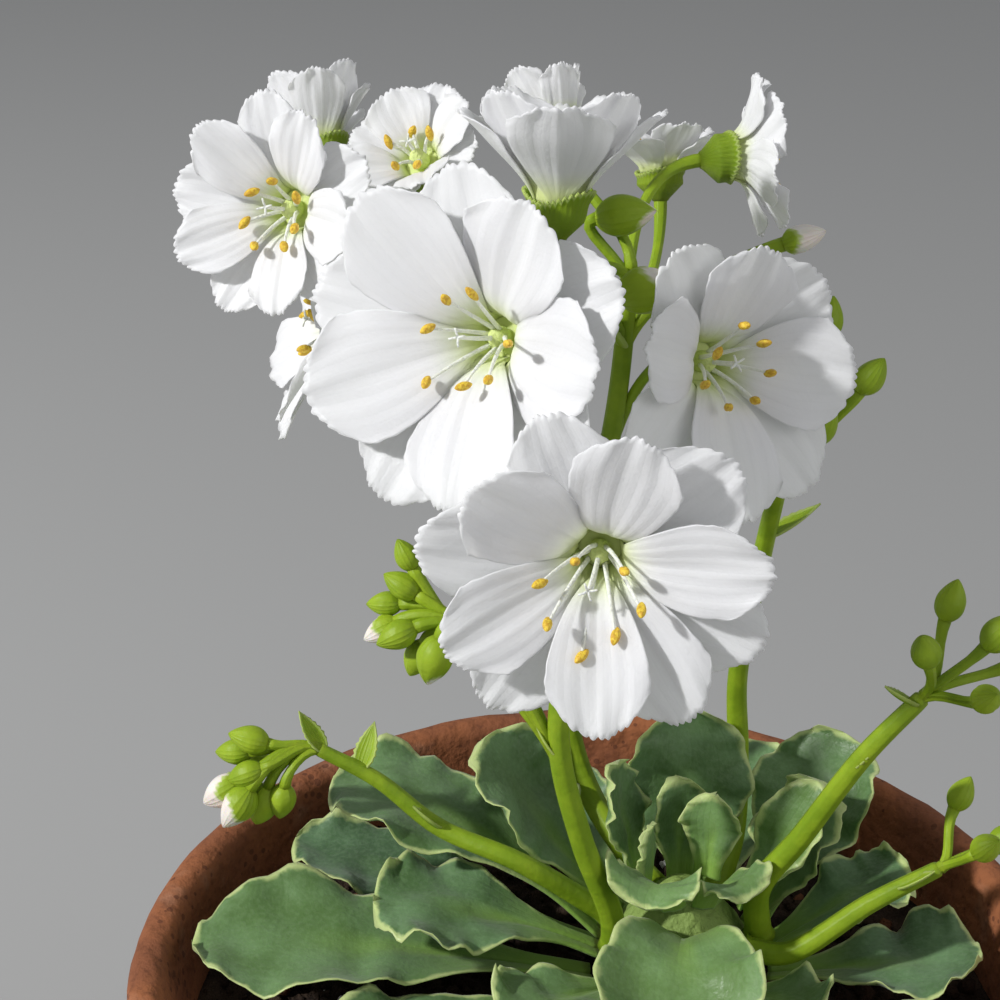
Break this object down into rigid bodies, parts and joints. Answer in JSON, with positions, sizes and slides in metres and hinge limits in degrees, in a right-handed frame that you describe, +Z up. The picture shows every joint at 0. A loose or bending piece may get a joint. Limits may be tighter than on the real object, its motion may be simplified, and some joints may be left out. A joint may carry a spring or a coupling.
{
  "type": "potted lewisia",
  "caption": "Lewisia plant with white many-petalled flowers above a rosette of crinkled fleshy leaves, growing in a round terracotta pot that stands on its flat foot.",
  "frame": {"origin": "middle of the pot's underside, on the surface that the pot stands on", "axes": "+Z up along the pot's axis; -Y towards the side that the most open flower faces; +X to the right seen from that side"},
  "size_m": [0.12, 0.12, 0.2203],
  "materials": {
    "terracotta": "unglazed fired clay, matte, faintly mottled",
    "soil": "dark crumbly compost, matte, with white perlite",
    "crown": "fleshy stem with old leaf scars, matte",
    "leaf": "fleshy grey-green leaf with a waxy bloom, satin",
    "stem": "smooth yellow-green stem, satin",
    "petal": "thin white petal, soft and slightly translucent",
    "stamen": "white threads with yellow pollen-covered anthers"
  },
  "bodies": {
    "root": {"pot": "terracotta", "soil": "soil", "crown": "crown", "leaf_01": "leaf", "leaf_02": "leaf", "leaf_03": "leaf", "leaf_04": "leaf", "leaf_05": "leaf", "leaf_06": "leaf", "leaf_07": "leaf", "leaf_08": "leaf", "leaf_09": "leaf", "leaf_10": "leaf", "leaf_11": "leaf", "leaf_12": "leaf", "leaf_13": "leaf", "leaf_14": "leaf", "leaf_15": "leaf", "leaf_16": "leaf", "leaf_17": "leaf", "leaf_18": "leaf", "leaf_19": "leaf", "leaf_20": "leaf", "leaf_21": "leaf", "leaf_22": "leaf", "leaf_23": "leaf", "leaf_24": "leaf", "leaf_25": "leaf", "leaf_26": "leaf", "leaf_27": "leaf", "scape_1": "stem", "scape_2": "stem", "scape_3": "stem", "scape_4": "stem", "scape_5": "stem", "scape_6": "stem", "corolla_01": "petal", "corolla_02": "petal", "corolla_03": "petal", "corolla_04": "petal", "corolla_05": "petal", "corolla_06": "petal", "corolla_07": "petal", "corolla_08": "petal", "corolla_09": "petal", "corolla_10": "petal", "corolla_11": "petal", "stamens_01": "stamen", "stamens_02": "stamen", "stamens_03": "stamen", "stamens_04": "stamen", "stamens_05": "stamen", "stamens_06": "stamen", "stamens_07": "stamen", "stamens_08": "stamen", "stamens_09": "stamen", "stamens_10": "stamen", "stamens_11": "stamen"}
  },
  "joints": []
}
